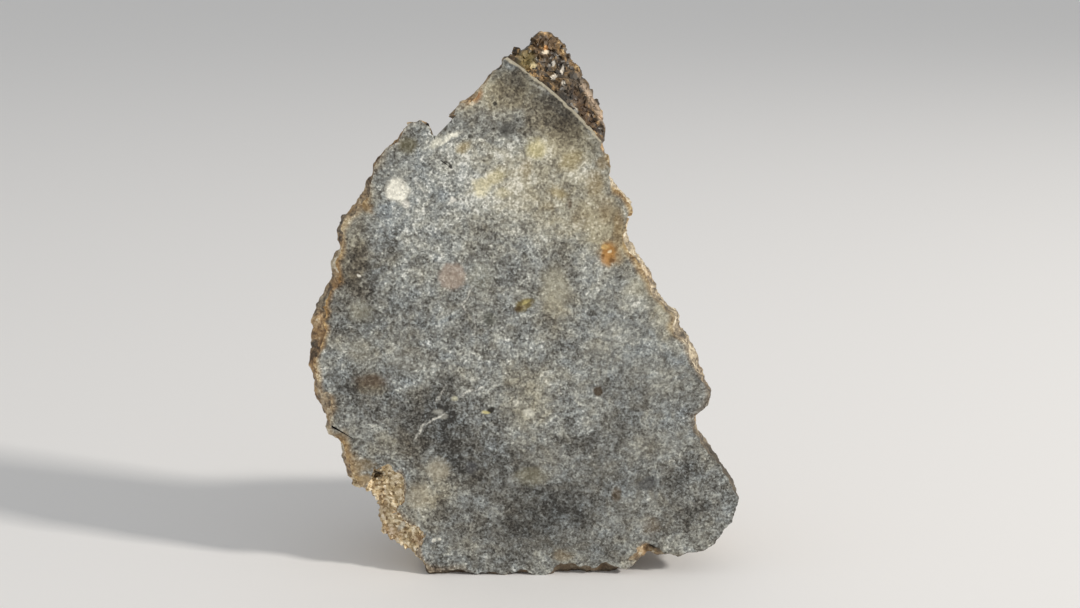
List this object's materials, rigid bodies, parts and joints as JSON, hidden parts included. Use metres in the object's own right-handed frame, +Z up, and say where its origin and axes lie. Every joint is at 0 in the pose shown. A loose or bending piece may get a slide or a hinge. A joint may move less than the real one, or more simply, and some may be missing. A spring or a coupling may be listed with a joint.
{
  "type": "eucrite meteorite end piece",
  "caption": "Stony meteorite specimen with a flat sawn face, a thick foot and a thinner peak, standing upright on a small flat.",
  "frame": {"origin": "middle of the small flat that the stone rests on", "axes": "+Z up, -Y out of the sawn face, +X to the right for someone who looks at that face"},
  "size_m": [0.0454, 0.0201, 0.0576],
  "materials": {
    "eucrite_stone": "sawn and lapped matt grey face, weathered brown and ochre outside"
  },
  "bodies": {
    "root": {"meteorite": "eucrite_stone"}
  },
  "joints": []
}
